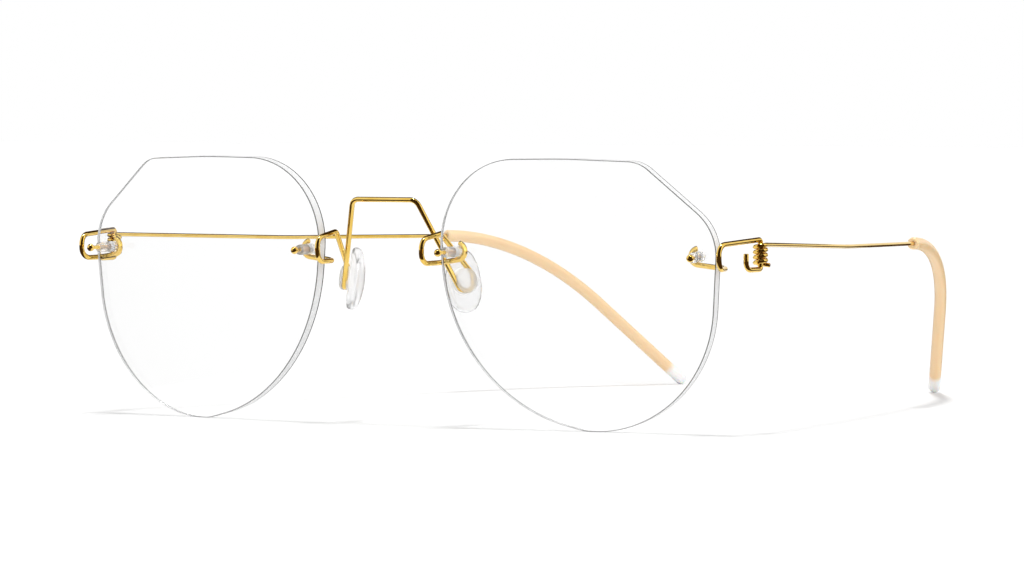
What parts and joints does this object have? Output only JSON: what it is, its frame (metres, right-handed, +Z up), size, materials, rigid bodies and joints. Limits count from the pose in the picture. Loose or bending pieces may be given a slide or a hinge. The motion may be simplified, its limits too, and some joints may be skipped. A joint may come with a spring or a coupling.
{
  "type": "rimless eyeglasses",
  "caption": "Rimless eyeglasses with geometric panto lenses, a screwless bent-wire frame, silicone nose pads and wire temples that fold on coil hinges.",
  "frame": {"origin": "on the table, at the middle of the open glasses' width and length", "axes": "+X to the wearer's left, +Y back along the temples to the ears, +Z up; the lenses face -Y; X = 0 is the plane of symmetry"},
  "size_m": [0.129, 0.1452, 0.0438],
  "materials": {
    "gold_wire": "polished gold plating on titanium wire",
    "lens_clear": "clear, polished faces with a fine-ground edge",
    "silicone_clear": "clear soft silicone, slightly cloudy",
    "silicone_sleeve": "translucent peach silicone, smooth",
    "bush_clear": "clear gloss"
  },
  "bodies": {
    "front": {"lens_left": "lens_clear", "lens_right": "lens_clear", "bridge_wire": "gold_wire", "endpiece_left": "gold_wire", "endpiece_right": "gold_wire", "nose_pad_left": "silicone_clear", "nose_pad_right": "silicone_clear", "nasal_pin_left": "gold_wire", "nasal_pin_right": "gold_wire", "temporal_pin_left": "gold_wire", "temporal_pin_right": "gold_wire", "nasal_bush_left": "bush_clear", "nasal_bush_right": "bush_clear", "temporal_bush_left": "bush_clear", "temporal_bush_right": "bush_clear"},
    "temple_left": {"temple_left": "gold_wire", "temple_sleeve_left": "silicone_sleeve"},
    "temple_right": {"temple_right": "gold_wire", "temple_sleeve_right": "silicone_sleeve"}
  },
  "joints": [
    {"name": "fold_left", "type": "hinge", "parent": "front", "child": "temple_left", "pos_m": [0.06325, -0.05375, 0.0285], "axis": [0, 0, 1], "range_deg": [0, 76]},
    {"name": "fold_right", "type": "hinge", "parent": "front", "child": "temple_right", "pos_m": [-0.06325, -0.05375, 0.0285], "axis": [0, 0, -1], "range_deg": [0, 66]}
  ]
}
